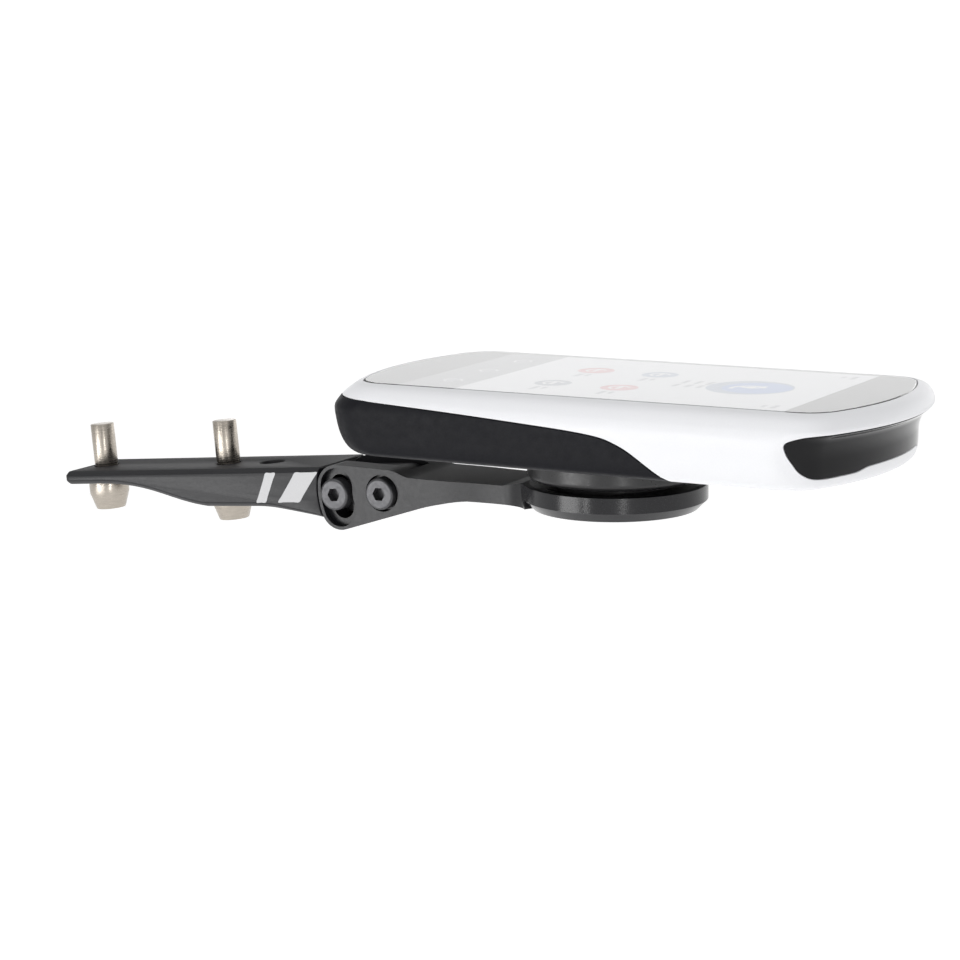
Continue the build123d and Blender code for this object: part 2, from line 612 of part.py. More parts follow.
# ---- build ------------------------------------------------------------------
def build():
    """Make and write every sub-part."""
    write("base_plate", base_plate(), level=False)
    write("stem_screws", Compound(children=[stem_screw(-BOLT_SPACING / 2, -BASE_REAR_T),
                                            stem_screw(BOLT_SPACING / 2, -5.3)]), level=False)
    lock_screw, lock_nut = cross_screw(PIVOT_X - LOCK_BACK, PIVOT_Z, 9.6, 9.2)
    write("lock_screw", lock_screw, level=False)
    write("lock_nut", lock_nut, level=False)
    pivot_screw, pivot_nut = cross_screw(PIVOT_LX, PIVOT_LZ, 9.6, 9.2)
    write("pivot_screw", pivot_screw)
    write("pivot_nut", pivot_nut)
    write("arm", arm())
    write("ring_insert", ring_insert())
    write("insert_screws", Compound(children=insert_screws()))

    envelope, lower_zone = case_envelope(), below_parting()
    seal = gasket(lower_zone)
    write("case_gasket", seal)
    write("upper_shell", upper_shell(envelope, lower_zone, seal))
    write("lower_case", lower_case(envelope, lower_zone, seal))
    write("front_window", front_window(envelope))
    write("mount_boss", mount_boss())
    for name, solids in (("boss_screws", boss_screws()), ("case_screws", case_screws()),
                         ("shield_cans", shield_cans()), ("board_chips", board_chips()),
                         ("button_switches", switches()), ("contact_pads", contacts())):
        write(name, Compound(children=solids))
    write("lap_button", rear_key(envelope, -KEY_Y))
    write("start_button", rear_key(envelope, KEY_Y))
    write("power_button", power_button())
    write("usb_cover", usb_cover())
    for name, shape in electronics().items():
        write(name, shape)


build()
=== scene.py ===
import math

import bpy
import numpy as np
from mathutils import Matrix, Vector
from mathutils.geometry import delaunay_2d_cdt


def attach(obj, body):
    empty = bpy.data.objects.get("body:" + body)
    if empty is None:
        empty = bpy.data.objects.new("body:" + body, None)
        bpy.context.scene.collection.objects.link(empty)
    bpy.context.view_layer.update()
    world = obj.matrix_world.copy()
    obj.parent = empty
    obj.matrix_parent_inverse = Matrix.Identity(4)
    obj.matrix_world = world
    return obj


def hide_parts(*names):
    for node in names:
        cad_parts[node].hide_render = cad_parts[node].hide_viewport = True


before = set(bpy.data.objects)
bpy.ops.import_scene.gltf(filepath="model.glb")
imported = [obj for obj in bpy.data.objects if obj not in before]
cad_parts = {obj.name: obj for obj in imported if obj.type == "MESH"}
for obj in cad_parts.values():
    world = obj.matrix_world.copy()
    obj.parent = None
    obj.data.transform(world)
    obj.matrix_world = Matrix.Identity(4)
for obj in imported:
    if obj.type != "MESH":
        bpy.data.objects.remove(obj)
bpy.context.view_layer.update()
MM = 0.001

# ---- the computer's own level frame, as in the CAD model ---------------------
ARM_PITCH = math.radians(5.2)
PIVOT = Vector((58.6, 0, -5.4))
PIVOT_LEVEL = Vector((-47.3, 0, -11.05))
TURN = Matrix.Rotation(ARM_PITCH, 3, "Y")
LEVEL_ORIGIN = PIVOT - TURN @ PIVOT_LEVEL


def to_row(point):
    """Level-frame point in mm to the row frame in metres."""
    return (TURN @ Vector(point) + LEVEL_ORIGIN) * MM


def rows_to_world(points, level=True):
    """Array of mm points to the row frame in metres."""
    points = np.asarray(points, float)
    if level:
        points = points @ np.array(TURN).T + np.array(LEVEL_ORIGIN)
    return points * MM


# ---- camera ------------------------------------------------------------------
CAMERA_AZIMUTH, CAMERA_ELEVATION, CAMERA_ROLL = 29.55, 10.54, -0.844
CAMERA_DISTANCE, CAMERA_LENS = 509.05, 99.57
AIM_RIGHT, AIM_UP = -25.98, -6.04


def make_camera():
    """Long-lens camera low on the rider's right, ahead of the bars."""
    az, el, roll = (math.radians(a) for a in (CAMERA_AZIMUTH, CAMERA_ELEVATION, CAMERA_ROLL))
    back = Vector((math.sin(az) * math.cos(el), -math.cos(az) * math.cos(el), math.sin(el)))
    right = Vector((math.cos(az), math.sin(az), 0))
    up = back.cross(right)
    right, up = right * math.cos(roll) + up * math.sin(roll), up * math.cos(roll) - right * math.sin(roll)
    place = right * AIM_RIGHT + up * AIM_UP + back * CAMERA_DISTANCE
    axes = Matrix((TURN @ right, TURN @ up, TURN @ back)).transposed()
    data = bpy.data.cameras.new("camera")
    data.lens, data.sensor_width = CAMERA_LENS, 36.0
    data.clip_start = 0.01
    camera = bpy.data.objects.new("camera", data)
    camera.matrix_world = Matrix.Translation(to_row(place)) @ axes.to_4x4()
    bpy.context.scene.collection.objects.link(camera)
    bpy.context.scene.camera = camera


# ---- materials ---------------------------------------------------------------
NOISE_LOW, NOISE_HIGH = 0.3, 0.7            # the part of a noise's range that is used
BUMP_DEPTH = 0.00005
PATCH = 3.1                                 # roughness varies in patches this much larger than the grain


def mapped(nodes, links, source, low, high):
    """Noise stretched to run from low to high."""
    node = nodes.new("ShaderNodeMapRange")
    node.inputs["From Min"].default_value, node.inputs["From Max"].default_value = NOISE_LOW, NOISE_HIGH
    node.inputs["To Min"].default_value, node.inputs["To Max"].default_value = low, high
    links.new(source, node.inputs["Value"])
    return node.outputs["Result"]


def blended(nodes, links, mask, base, value):
    """base where the mask is 0, value where it is 1."""
    node = nodes.new("ShaderNodeMix")
    node.inputs["B"].default_value = value
    links.new(mask, node.inputs["Factor"])
    links.new(base, node.inputs["A"])
    return node.outputs["Result"]


def near_axis(nodes, links, place, x, y, reach):
    """Mask that is 1 within reach of an upright axis; metres."""
    flat = nodes.new("ShaderNodeVectorMath")
    flat.operation = "MULTIPLY"
    flat.inputs[1].default_value = (1, 1, 0)
    links.new(place, flat.inputs[0])
    away = nodes.new("ShaderNodeVectorMath")
    away.operation = "DISTANCE"
    away.inputs[1].default_value = (x, y, 0)
    links.new(flat.outputs["Vector"], away.inputs[0])
    near = nodes.new("ShaderNodeMath")
    near.operation = "LESS_THAN"
    near.inputs[1].default_value = reach
    links.new(away.outputs["Value"], near.inputs[0])
    return near.outputs["Value"]


def looking_up(nodes, links):
    """Mask that is 1 on faces that look up."""
    facing = nodes.new("ShaderNodeNewGeometry")
    split = nodes.new("ShaderNodeSeparateXYZ")
    links.new(facing.outputs["Normal"], split.inputs["Vector"])
    return mapped(nodes, links, split.outputs["Z"], 0, 1)


def shader(name, colour, rough, metal=0.0, spec=0.5, grain=0.0, grain_size=0.25, bump=0.0,
           bump_size=0.2, rough_vary=0.0, coat=0.0, coat_rough=0.1, stretch=(1, 1, 1),
           turned=None, top_rough=None):
    """Procedural Principled material: colour, roughness and bump all carry fine variation.
    grain_size and bump_size are in millimetres. turned = (x, y, reach, rough) gives the faces round
    that upright axis their own roughness, top_rough does so for faces that look up."""
    material = bpy.data.materials.new(name)
    material.use_nodes = True
    nodes, links = material.node_tree.nodes, material.node_tree.links
    principled = nodes["Principled BSDF"]
    for socket, value in (("Metallic", metal), ("Specular IOR Level", spec), ("Coat Weight", coat),
                          ("Coat Roughness", coat_rough)):
        principled.inputs[socket].default_value = value
    coords = nodes.new("ShaderNodeTexCoord")
    scaled = nodes.new("ShaderNodeMapping")
    scaled.inputs["Scale"].default_value = stretch
    links.new(coords.outputs["Object"], scaled.inputs["Vector"])

    def noise(size_mm, detail=3.0):
        node = nodes.new("ShaderNodeTexNoise")
        node.inputs["Scale"].default_value = 1 / MM / size_mm
        node.inputs["Detail"].default_value = detail
        links.new(scaled.outputs["Vector"], node.inputs["Vector"])
        return node.outputs["Fac"]

    ramp = nodes.new("ShaderNodeMix")
    ramp.data_type = "RGBA"
    ramp.inputs["A"].default_value = (*[c * (1 - grain) for c in colour], 1)
    ramp.inputs["B"].default_value = (*[min(1.0, c * (1 + grain)) for c in colour], 1)
    links.new(mapped(nodes, links, noise(grain_size), 0, 1), ramp.inputs["Factor"])
    links.new(ramp.outputs["Result"], principled.inputs["Base Color"])
    roughness = mapped(nodes, links, noise(grain_size * PATCH), max(0.02, rough - rough_vary),
                       min(1.0, rough + rough_vary))
    if turned:
        x, y, reach, turned_rough = turned
        mask = near_axis(nodes, links, coords.outputs["Object"], x, y, reach)
        roughness = blended(nodes, links, mask, roughness, turned_rough)
    if top_rough:
        roughness = blended(nodes, links, looking_up(nodes, links), roughness, top_rough)
    links.new(roughness, principled.inputs["Roughness"])
    if bump:
        bumped = nodes.new("ShaderNodeBump")
        bumped.inputs["Strength"].default_value = bump
        bumped.inputs["Distance"].default_value = BUMP_DEPTH
        links.new(noise(bump_size, 2.0), bumped.inputs["Height"])
        links.new(bumped.outputs["Normal"], principled.inputs["Normal"])
    return material


def glow(material, colour, strength):
    """Makes a material give off light."""
    principled = material.node_tree.nodes["Principled BSDF"]
    principled.inputs["Emission Color"].default_value = (*colour, 1)
    principled.inputs["Emission Strength"].default_value = strength


DISPLAY_GRAIN, DISPLAY_GRAIN_SIZE = 0.03, 0.18


def lit(name, colour, strength):
    """Display colour: emits light with a faint grain."""
    material = shader(name, (0.01, 0.01, 0.01), 0.5, grain=0.1)
    nodes, links = material.node_tree.nodes, material.node_tree.links
    principled = nodes["Principled BSDF"]
    checks = nodes.new("ShaderNodeTexNoise")
    checks.inputs["Scale"].default_value = 1 / MM / DISPLAY_GRAIN_SIZE
    links.new(nodes["Mapping"].outputs["Vector"], checks.inputs["Vector"])
    blend = nodes.new("ShaderNodeMix")
    blend.data_type = "RGBA"
    blend.inputs["A"].default_value = (*[c * (1 - DISPLAY_GRAIN) for c in colour], 1)
    blend.inputs["B"].default_value = (*[min(1, c * (1 + DISPLAY_GRAIN)) for c in colour], 1)
    links.new(checks.outputs["Fac"], blend.inputs["Factor"])
    glow(material, colour, strength)
    links.new(blend.outputs["Result"], principled.inputs["Emission Color"])
    return material


def glass(name):
    """Clear cover glass with a trace of unevenness in its polish."""
    material = shader(name, (0.99, 0.99, 1.0), 0.02, grain=0.002, rough_vary=0.008, grain_size=6.0)
    principled = material.node_tree.nodes["Principled BSDF"]
    principled.inputs["Transmission Weight"].default_value = 1.0
    principled.inputs["IOR"].default_value = 1.5
    return material


RING_X, RING_Y, RING_REACH = 0.1060, 0.0, 0.0182     # the arm's ring, turned on a lathe, in metres
RING_ROUGH, TOP_ROUGH = 0.17, 0.62

SHELL_WHITE = shader("shell_white", (0.76, 0.765, 0.785), 0.40, grain=0.012, bump=0.05, bump_size=0.3,
                     rough_vary=0.05, coat=0.12, coat_rough=0.25)
CASE_BLACK = shader("case_black", (0.006, 0.0062, 0.0085), 0.46, spec=0.12, grain=0.18, grain_size=0.35,
                    bump=0.22, bump_size=0.22, rough_vary=0.06)
WINDOW_GLOSS = shader("window_gloss", (0.003, 0.003, 0.004), 0.03, spec=0.24, grain=0.1, rough_vary=0.01)
KEY_RUBBER = shader("key_rubber", (0.022, 0.022, 0.024), 0.62, grain=0.2, grain_size=0.3, bump=0.5,
                    bump_size=0.25, rough_vary=0.08)
SEAL_RUBBER = shader("seal_rubber", (0.012, 0.012, 0.013), 0.7, grain=0.15, bump=0.2)
INK_BLACK = shader("ink_black", (0.006, 0.006, 0.007), 0.4, grain=0.1, rough_vary=0.03)
ANODISED = shader("anodised_black", (0.011, 0.011, 0.013), 0.32, spec=0.36, grain=0.3,
                  grain_size=0.22, bump=0.22, bump_size=0.2, rough_vary=0.03,
                  turned=(RING_X, RING_Y, RING_REACH, RING_ROUGH), top_rough=TOP_ROUGH)
HEAD_METAL = shader("black_screw", (0.075, 0.075, 0.079), 0.34, metal=0.6, grain=0.12, grain_size=0.2,
                    bump=0.25, bump_size=0.15, rough_vary=0.06)
STEM_METAL = shader("bright_screw", (0.43, 0.39, 0.34), 0.28, metal=1.0, grain=0.07, grain_size=0.5,
                    bump=0.3, bump_size=0.35, rough_vary=0.08, stretch=(0.25, 0.25, 2.5))
SOCKET_POLYMER = shader("socket_polymer", (0.02, 0.02, 0.021), 0.5, grain=0.15, bump=0.3,
                        bump_size=0.3, rough_vary=0.06)
FOOT_BLACK = shader("foot_black", (0.018, 0.018, 0.019), 0.32, grain=0.15, bump=0.15,
                    bump_size=0.25, rough_vary=0.05)
FRAME_METAL = shader("frame_metal", (0.5, 0.5, 0.5), 0.4, metal=1.0, grain=0.08)
BOARD_GREEN = shader("board_green", (0.02, 0.12, 0.05), 0.45, grain=0.3, grain_size=0.8, coat=0.3)
SHIELD_TIN = shader("shield_tin", (0.7, 0.7, 0.68), 0.3, metal=1.0, grain=0.05)
CHIP_BLACK = shader("chip_black", (0.02, 0.02, 0.02), 0.55, grain=0.2, bump=0.2)
BATTERY_FOIL = shader("battery_foil", (0.35, 0.36, 0.38), 0.35, metal=0.8, grain=0.1, grain_size=1.5,
                      bump=0.4, bump_size=1.2)
CERAMIC = shader("ceramic", (0.55, 0.5, 0.42), 0.5, grain=0.05)
GOLD = shader("gold_pad", (0.9, 0.62, 0.25), 0.24, metal=1.0, grain=0.04, bump=0.1)
MEMBRANE = shader("membrane", (0.7, 0.7, 0.7), 0.8, grain=0.1, bump=0.3)
DISPLAY_LAYER = shader("display_layer", (0.05, 0.05, 0.055), 0.3, grain=0.05)
PRINT_GREY = shader("print_grey", (0.56, 0.56, 0.57), 0.5, grain=0.05, grain_size=0.2, bump=0.3,
                    bump_size=0.16, rough_vary=0.05)
GLASS = glass("cover_glass")

NODE_LOOKS = (
    (ANODISED, ("arm", "base_plate")),
    (HEAD_METAL, ("lock_screw", "lock_nut", "pivot_screw", "pivot_nut", "insert_screws",
                 "boss_screws", "case_screws")),
    (STEM_METAL, ("stem_screws",)),
    (SOCKET_POLYMER, ("ring_insert",)),
    (SHELL_WHITE, ("upper_shell",)),
    (CASE_BLACK, ("lower_case",)),
    (GLASS, ("cover_glass",)),
    (WINDOW_GLOSS, ("front_window",)),
    (FOOT_BLACK, ("mount_boss",)),
    (KEY_RUBBER, ("lap_button", "start_button", "power_button", "usb_cover")),
    (SEAL_RUBBER, ("case_gasket",)),
    (INK_BLACK, ("display_seal",)),
    (DISPLAY_LAYER, ("display_panel", "touch_sensor", "backlight", "display_flex")),
    (FRAME_METAL, ("display_frame", "usb_socket", "card_socket")),
    (BOARD_GREEN, ("main_board",)),
    (SHIELD_TIN, ("shield_cans",)),
    (CHIP_BLACK, ("board_chips", "button_switches", "beeper", "pressure_sensor",
                  "memory_card", "light_sensor", "battery_lead")),
    (BATTERY_FOIL, ("battery",)),
    (CERAMIC, ("gnss_antenna", "wireless_antenna")),
    (GOLD, ("contact_pads",)),
    (MEMBRANE, ("vent_membrane",)),
)


def dress_nodes():
    """Give every CAD node its material."""
    for material, names in NODE_LOOKS:
        for name in names:
            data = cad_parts[name].data
            data.materials.clear()
            data.materials.append(material)


# ---- mesh building -----------------------------------------------------------
def add_piece(name, points, faces, materials, body, normals=None, replaces=(), level=True, face_slots=None):
    """Mesh object from mm points, riding on a CAD body."""
    mesh = bpy.data.meshes.new(name)
    mesh.from_pydata(rows_to_world(points, level).tolist(), [], [list(map(int, f)) for f in faces])
    for material in materials:
        mesh.materials.append(material)
    if face_slots is not None:
        mesh.polygons.foreach_set("material_index", np.asarray(face_slots, np.int32))
    mesh.polygons.foreach_set("use_smooth", [True] * len(mesh.polygons))
    if normals is not None:
        turned = np.asarray(normals) @ (np.array(TURN).T if level else np.eye(3))
        mesh.normals_split_custom_set_from_vertices(turned.tolist())
    mesh.update()
    piece = bpy.data.objects.new(name, mesh)
    bpy.context.scene.collection.objects.link(piece)
    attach(piece, body)
    if replaces:
        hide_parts(*replaces)
    return piece


WELD_GRID, WELD_TURNS = 4e-4, 3


class Build:
    """Points, faces and normals gathered piece by piece, then welded where they meet."""

    def __init__(self):
        self.points, self.normals, self.faces, self.count = [], [], [], 0

    def add(self, points, normals, faces):
        start = self.count
        self.points.append(np.asarray(points, float))
        self.normals.append(np.asarray(normals, float))
        self.faces += [[start + int(i) for i in face] for face in faces]
        self.count += len(points)

    def welded(self):
        """Points, normals and faces, with points joined where both place and normal agree."""
        points, normals = np.vstack(self.points), np.vstack(self.normals)
        key = np.round(points / WELD_GRID).astype(np.int64)
        turn = np.round(normals * WELD_TURNS).astype(np.int64)
        _, first, back = np.unique(np.hstack([key, turn]), axis=0, return_index=True, return_inverse=True)
        back = back.reshape(-1)
        faces = []
        for face in self.faces:
            ring = [int(back[i]) for i in face]
            ring = [v for n, v in enumerate(ring) if v != ring[n - 1]]
            if len(ring) > 2:
                faces.append(ring)
        return points[first], normals[first], faces


BATCH = 1500                     # points handled at once in the tests below
CLEAR = 0.45                     # grid points nearer than this to a border, in steps, are left out


def inside(points, loop):
    """Even-odd test of many points against one closed loop."""
    x, y = points[:, 0:1], points[:, 1:2]
    ax, ay = loop[:, 0], loop[:, 1]
    bx, by = np.roll(ax, -1), np.roll(ay, -1)
    result = np.zeros(len(points), bool)
    for start in range(0, len(points), BATCH):
        px, py = x[start:start + BATCH], y[start:start + BATCH]
        crosses = (ay > py) != (by > py)
        with np.errstate(divide="ignore", invalid="ignore"):
            at = ax + (py - ay) * (bx - ax) / (by - ay)
        result[start:start + BATCH] = (crosses & (px < at)).sum(axis=1) % 2 == 1
    return result


def triangulate(outer, holes, step_x, step_y):
    """Constrained triangulation of a flat region; returns its points and triangles."""
    loops = [np.asarray(outer, float)] + [np.asarray(h, float) for h in holes]
    low, high = loops[0].min(axis=0), loops[0].max(axis=0)
    grid_x = np.arange(low[0] + step_x / 2, high[0], step_x)
    grid_y = np.arange(low[1] + step_y / 2, high[1], step_y)
    grid = np.array([(x, y) for y in grid_y for x in grid_x])
    keep = inside(grid, loops[0])
    for hole in loops[1:]:
        keep &= ~inside(grid, hole)
    grid = grid[keep]
    border = np.vstack(loops)
    near = np.full(len(grid), np.inf)
    for start in range(0, len(grid), BATCH):
        part = grid[start:start + BATCH]
        scaled = (part[:, None, :] - border[None, :, :]) / (step_x, step_y)
        near[start:start + BATCH] = np.sqrt((scaled ** 2).sum(axis=2)).min(axis=1)
    grid = grid[near > CLEAR]
    points = [Vector(p) for p in border] + [Vector(p) for p in grid]
    edges, start = [], 0
    for loop in loops:
        count = len(loop)
        edges += [(start + i, start + (i + 1) % count) for i in range(count)]
        start += count
    out, _, triangles, *_ = delaunay_2d_cdt(points, edges, [], 0, 1e-7)
    out = np.array([tuple(p) for p in out])
    triangles = np.array([list(t) for t in triangles])
    middle = out[triangles].mean(axis=1)
    keep = inside(middle, loops[0])
    for hole in loops[1:]:
        keep &= ~inside(middle, hole)
    return out, triangles[keep]


RIM_STEPS = 4


def rim_rows(points, normals, closed, side, radius, depth):
    """Rounded edge and wall along a border. side is +1 where the open side is to the right of travel."""
    points, normals = np.asarray(points), np.asarray(normals)
    if closed:
        along = np.roll(points, -1, axis=0) - np.roll(points, 1, axis=0)
    else:
        along = np.gradient(points, axis=0)
    along /= np.linalg.norm(along, axis=1, keepdims=True)
    away = side * np.cross(along, normals)
    away /= np.linalg.norm(away, axis=1, keepdims=True)
    rows, turns = [points], [normals]
    for step in range(1, RIM_STEPS + 1):
        angle = math.pi / 2 * step / RIM_STEPS
        rows.append(points + away * radius * math.sin(angle) - normals * radius * (1 - math.cos(angle)))
        turns.append(normals * math.cos(angle) + away * math.sin(angle))
    rows.append(points + away * radius - normals * (radius + depth))
    turns.append(away)
    rows.append(points - normals * (radius + depth))
    turns.append(-normals)
    return rows, turns


def ladder(row_count, count, closed):
    """Quads between neighbouring rows of count points each."""
    faces = []
    for k in range(row_count - 1):
        for i in range(count if closed else count - 1):
            j = (i + 1) % count
            faces.append([k * count + i, (k + 1) * count + i, (k + 1) * count + j, k * count + j])
    return faces


def add_rim(build, points, normals, closed, side, radius, depth):
    """Adds rim_rows to a build as quads."""
    rows, turns = rim_rows(points, normals, closed, side, radius, depth)
    faces = ladder(len(rows), len(points), closed)
    if side < 0:
        faces = [face[::-1] for face in faces]
    build.add(np.vstack(rows), np.vstack(turns), faces)


def add_skin(build, surface, outer, holes, steps, radius, depth, rims):
    """Triangulated skin with its inner face; rims lists (border points, closed, side)."""
    flat, triangles = triangulate(outer, holes, *steps)
    points, normals = surface(flat)
    a, b, c = points[triangles[0]]
    if np.cross(b - a, c - a) @ normals[triangles[0][0]] < 0:
        triangles = triangles[:, ::-1]
    build.add(points, normals, triangles)
    build.add(points - normals * (radius + depth), -normals, triangles[:, ::-1])
    for border, closed, side in rims:
        add_rim(build, *surface(np.asarray(border, float)), closed, side, radius, depth)


def spline_loop(controls, per=8):
    """Closed smooth loop through control points."""
    c = np.asarray(controls, float)
    out = []
    for i in range(len(c)):
        p0, p1, p2, p3 = c[i - 1], c[i], c[(i + 1) % len(c)], c[(i + 2) % len(c)]
        for k in range(per):
            t = k / per
            out.append(0.5 * ((2 * p1) + (p2 - p0) * t + (2 * p0 - 5 * p1 + 4 * p2 - p3) * t * t
                              + (3 * p1 - p0 - 3 * p2 + p3) * t ** 3))
    return np.array(out)


def rounded_box(x0, x1, y0, y1, radius, arc=7, gap=0.7):
    """Counter-clockwise rounded rectangle with evenly stepped sides."""
    points = []
    for cx, cy, a0 in ((x1 - radius, y0 + radius, -90), (x1 - radius, y1 - radius, 0),
                       (x0 + radius, y1 - radius, 90), (x0 + radius, y0 + radius, 180)):
        for k in range(arc + 1):
            a = math.radians(a0 + 90 * k / arc)
            points.append((cx + radius * math.cos(a), cy + radius * math.sin(a)))
    return densify(points, gap)


def densify(points, gap):
    """Adds points so that no step of a closed loop is longer than gap."""
    out = []
    for i, p in enumerate(points):
        q = points[(i + 1) % len(points)]
        span = math.dist(p, q)
        parts = max(1, math.ceil(span / gap))
        out += [(p[0] + (q[0] - p[0]) * k / parts, p[1] + (q[1] - p[1]) * k / parts) for k in range(parts)]
    return np.array(out)


def circle(cx, cy, radius, count=40):
    """Counter-clockwise circle."""
    angles = np.arange(count) * 2 * math.pi / count
    return np.stack([cx + radius * np.cos(angles), cy + radius * np.sin(angles)], axis=1)


# ---- the case's form ---------------------------------------------------------
BODY_REAR, BODY_FRONT, BODY_HALF = -53.3, 60.7, 29.0
REAR_CURVE, FRONT_CURVE = 0.009, 0.010
GLASS_TOP, WIDEST_Z = 13.66, 8.8
# height, then how far the side, the rear end and the front end stand in; the first rows are the underside
SECTIONS = np.array((
    (0.0, 8.4, 10.9, 11.1),
    (0.0, 2.4, 4.9, 5.1),
    (0.9, 0.85, 3.05, 3.6),
    (2.6, 0.5, 1.6, 3.2),
    (5.5, 0.25, 0.5, 3.1),
    (8.8, 0.02, 0.02, 1.9),
    (10.7, 0.25, 1.2, 0.03),
    (12.3, 1.4, 3.0, 0.75),
    (13.3, 3.1, 4.6, 2.1),
    (GLASS_TOP - 0.02, 4.7, 5.7, 3.4),
))
SECTION_V = np.concatenate([[0], np.cumsum(np.hypot(np.diff(SECTIONS[:, 0]), np.diff(SECTIONS[:, 1])))])
SECTION_V -= SECTION_V[1]


def smooth_table(xs, ys):
    """Shape-keeping cubic through a table; returns a function of an array."""
    xs, ys = np.asarray(xs, float), np.asarray(ys, float)
    h, d = np.diff(xs), np.diff(ys) / np.diff(xs)
    slope = np.zeros(len(xs))
    for i in range(1, len(xs) - 1):
        if d[i - 1] * d[i] > 0:
            w1, w2 = 2 * h[i] + h[i - 1], h[i] + 2 * h[i - 1]
            slope[i] = (w1 + w2) / (w1 / d[i - 1] + w2 / d[i])
    slope[0], slope[-1] = d[0], d[-1]

    def value(x):
        x = np.clip(np.asarray(x, float), xs[0], xs[-1])
        i = np.clip(np.searchsorted(xs, x, side="right") - 1, 0, len(xs) - 2)
        t = (x - xs[i]) / h[i]
        return ((2 * t ** 3 - 3 * t ** 2 + 1) * ys[i] + (t ** 3 - 2 * t ** 2 + t) * h[i] * slope[i]
                + (-2 * t ** 3 + 3 * t ** 2) * ys[i + 1] + (t ** 3 - t ** 2) * h[i] * slope[i + 1])
    return value


HEIGHT, SIDE_IN, REAR_IN, FRONT_IN = (smooth_table(SECTION_V, SECTIONS[:, k]) for k in range(4))
V_FINE = np.linspace(0.0, SECTION_V[-1], 2000)
Z_FINE = HEIGHT(V_FINE)


def v_of(z):
    """Distance up the case's profile at a height."""
    return np.interp(z, Z_FINE, V_FINE)


def plan_point(part, rear, front, half, radius):
    """Point on the outline. part runs 0-9: rear middle, right side, nose, left side, rear middle."""
    sag_r, sag_f = REAR_CURVE * half ** 2, FRONT_CURVE * half ** 2
    bow_r, bow_f = (half ** 2 + sag_r ** 2) / (2 * sag_r), (half ** 2 + sag_f ** 2) / (2 * sag_f)
    inner = half - radius
    turn_r, turn_f = np.arcsin(inner / (bow_r - radius)), np.arcsin(inner / (bow_f - radius))
    mid_r, mid_f = rear + bow_r, front - bow_f
    corner_r = mid_r - np.sqrt((bow_r - radius) ** 2 - inner ** 2)
    corner_f = mid_f + np.sqrt((bow_f - radius) ** 2 - inner ** 2)
    seg = np.clip(np.floor(part), 0, 8)
    f = part - seg
    quarter = math.pi / 2
    x, y = np.zeros_like(part), np.zeros_like(part)

    def put(index, px, py):
        chosen = seg == index
        x[chosen], y[chosen] = px[chosen], py[chosen]

    a = turn_r * f
    put(0, mid_r - bow_r * np.cos(a), -bow_r * np.sin(a))
    a = turn_r + (quarter - turn_r) * f
    put(1, corner_r - radius * np.cos(a), -inner - radius * np.sin(a))
    put(2, corner_r + (corner_f - corner_r) * f, -half)
    a = quarter - (quarter - turn_f) * f
    put(3, corner_f + radius * np.cos(a), -inner - radius * np.sin(a))
    a = turn_f * (2 * f - 1)
    put(4, mid_f + bow_f * np.cos(a), bow_f * np.sin(a))
    a = turn_f + (quarter - turn_f) * f
    put(5, corner_f + radius * np.cos(a), inner + radius * np.sin(a))
    put(6, corner_f + (corner_r - corner_f) * f, half)
    a = quarter - (quarter - turn_r) * f
    put(7, corner_r - radius * np.cos(a), inner + radius * np.sin(a))
    a = turn_r * (1 - f)
    put(8, mid_r - bow_r * np.cos(a), bow_r * np.sin(a))
    return x, y


def outline_at(part, v):
    """Case surface at a plan position and a distance up the profile."""
    part, v = np.broadcast_arrays(np.asarray(part, float), np.asarray(v, float))
    side = SIDE_IN(v)
    x, y = plan_point(part.copy(), BODY_REAR + REAR_IN(v), BODY_FRONT - FRONT_IN(v), BODY_HALF - side,
                      9.0 - 0.5 * side)
    return np.stack([x, y, HEIGHT(v)], axis=-1)


PART_FINE = np.linspace(0, 9, 9001)
RING_FINE = outline_at(PART_FINE, v_of(WIDEST_Z))
SIGMA_FINE = np.concatenate([[0], np.cumsum(np.linalg.norm(np.diff(RING_FINE, axis=0), axis=1))])
ROUND = SIGMA_FINE[-1]
NOSE = ROUND / 2
LAST_PART = 8.99999
PROBE = 0.01                     # step for working out normals, mm


def surface_point(flat):
    """Case surface from (distance round the case, distance up the profile)."""
    part = np.interp(np.mod(flat[:, 0], ROUND), SIGMA_FINE, PART_FINE)
    return outline_at(np.minimum(part, LAST_PART), flat[:, 1])


def case_surface(proud=0.0):
    """Surface function with normals, optionally standing proud."""
    def surface(flat):
        base = np.column_stack([flat[:, 0], np.clip(flat[:, 1], None, SECTION_V[-1] - PROBE)])
        across = surface_point(base + (PROBE, 0)) - surface_point(base - (PROBE, 0))
        upward = surface_point(base + (0, PROBE)) - surface_point(base - (0, PROBE))
        normal = np.cross(across, upward)
        normal /= np.linalg.norm(normal, axis=1, keepdims=True)
        return surface_point(flat) + normal * proud, normal
    return surface


def flat_surface(z, up):
    """Surface function for a level plane."""
    def surface(flat):
        normal = np.tile((0.0, 0.0, 1.0 if up else -1.0), (len(flat), 1))
        return np.column_stack([flat, np.full(len(flat), z)]), normal
    return surface


SEARCH_ROUNDS = 12


def sigma_at(x, v, left):
    """Distance round the case where a side line reaches x at this height."""
    x, v = np.asarray(x, float), np.asarray(v, float)
    middle = ROUND * 0.25
    sigma = np.full(x.shape, -middle if left else middle)
    way = -1.0 if left else 1.0
    for _ in range(SEARCH_ROUNDS):
        sigma = sigma + way * (x - surface_point(np.column_stack([sigma, v]))[:, 0])
    return sigma


